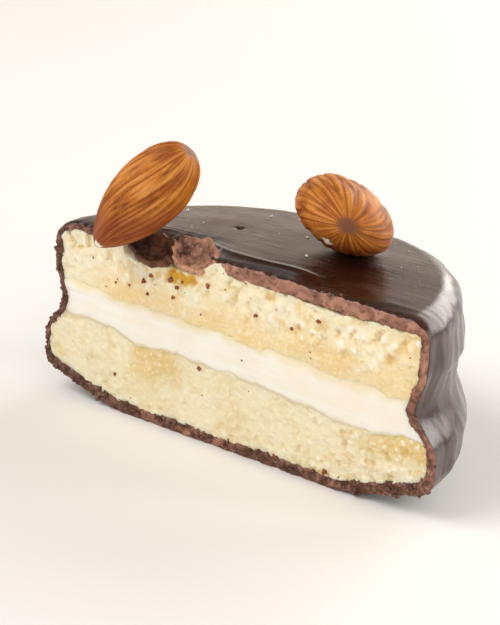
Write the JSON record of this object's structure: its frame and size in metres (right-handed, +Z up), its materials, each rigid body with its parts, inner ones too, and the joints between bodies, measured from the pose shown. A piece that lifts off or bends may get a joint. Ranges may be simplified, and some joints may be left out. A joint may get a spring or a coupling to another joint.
{
  "type": "alfajor cookie",
  "caption": "Half of a chocolate-coated sandwich cookie, cut through to show the biscuits and cream filling, with almonds on top.",
  "frame": {"origin": "on the flat underside of the coat, in line with the middle of the cut along X and half way between the cut face and the curved back along Y", "axes": "+X runs along the cut, the cut face looks towards -Y, +Z is up out of the cookie's top"},
  "size_m": [0.0697, 0.0394, 0.0432],
  "materials": {
    "dark_chocolate": "glossy set chocolate glaze",
    "broken_chocolate": "matte broken chocolate",
    "biscuit": "matte dry crumb",
    "cream": "smooth satin cream",
    "almond_skin": "dry ridged skin"
  },
  "bodies": {
    "root": {"chocolate_coat": "dark_chocolate", "upper_biscuit": "biscuit", "cream_filling": "cream", "lower_biscuit": "biscuit", "almond_leaning": "almond_skin", "almond_lying": "almond_skin", "coat_flake_dark": "dark_chocolate", "coat_flake_pale": "broken_chocolate"}
  },
  "joints": []
}
